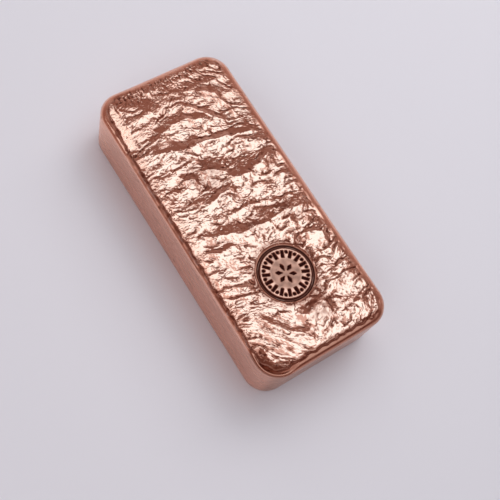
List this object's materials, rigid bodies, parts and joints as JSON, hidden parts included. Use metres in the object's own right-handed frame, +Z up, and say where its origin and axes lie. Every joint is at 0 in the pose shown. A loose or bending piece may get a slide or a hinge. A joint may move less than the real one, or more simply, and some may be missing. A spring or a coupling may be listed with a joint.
{
  "type": "copper ingot",
  "caption": "Small cast copper bar with drafted walls, rounded corners, a wrinkled poured face inside a round shoulder, and a round punch mark near one end.",
  "frame": {"origin": "middle of the flat base", "axes": "+X along the bar towards the end with the punch mark, +Y across the bar, +Z up through the poured face"},
  "size_m": [0.087, 0.039, 0.0182],
  "materials": {
    "copper": null
  },
  "bodies": {
    "root": {"ingot": "copper"}
  },
  "joints": []
}
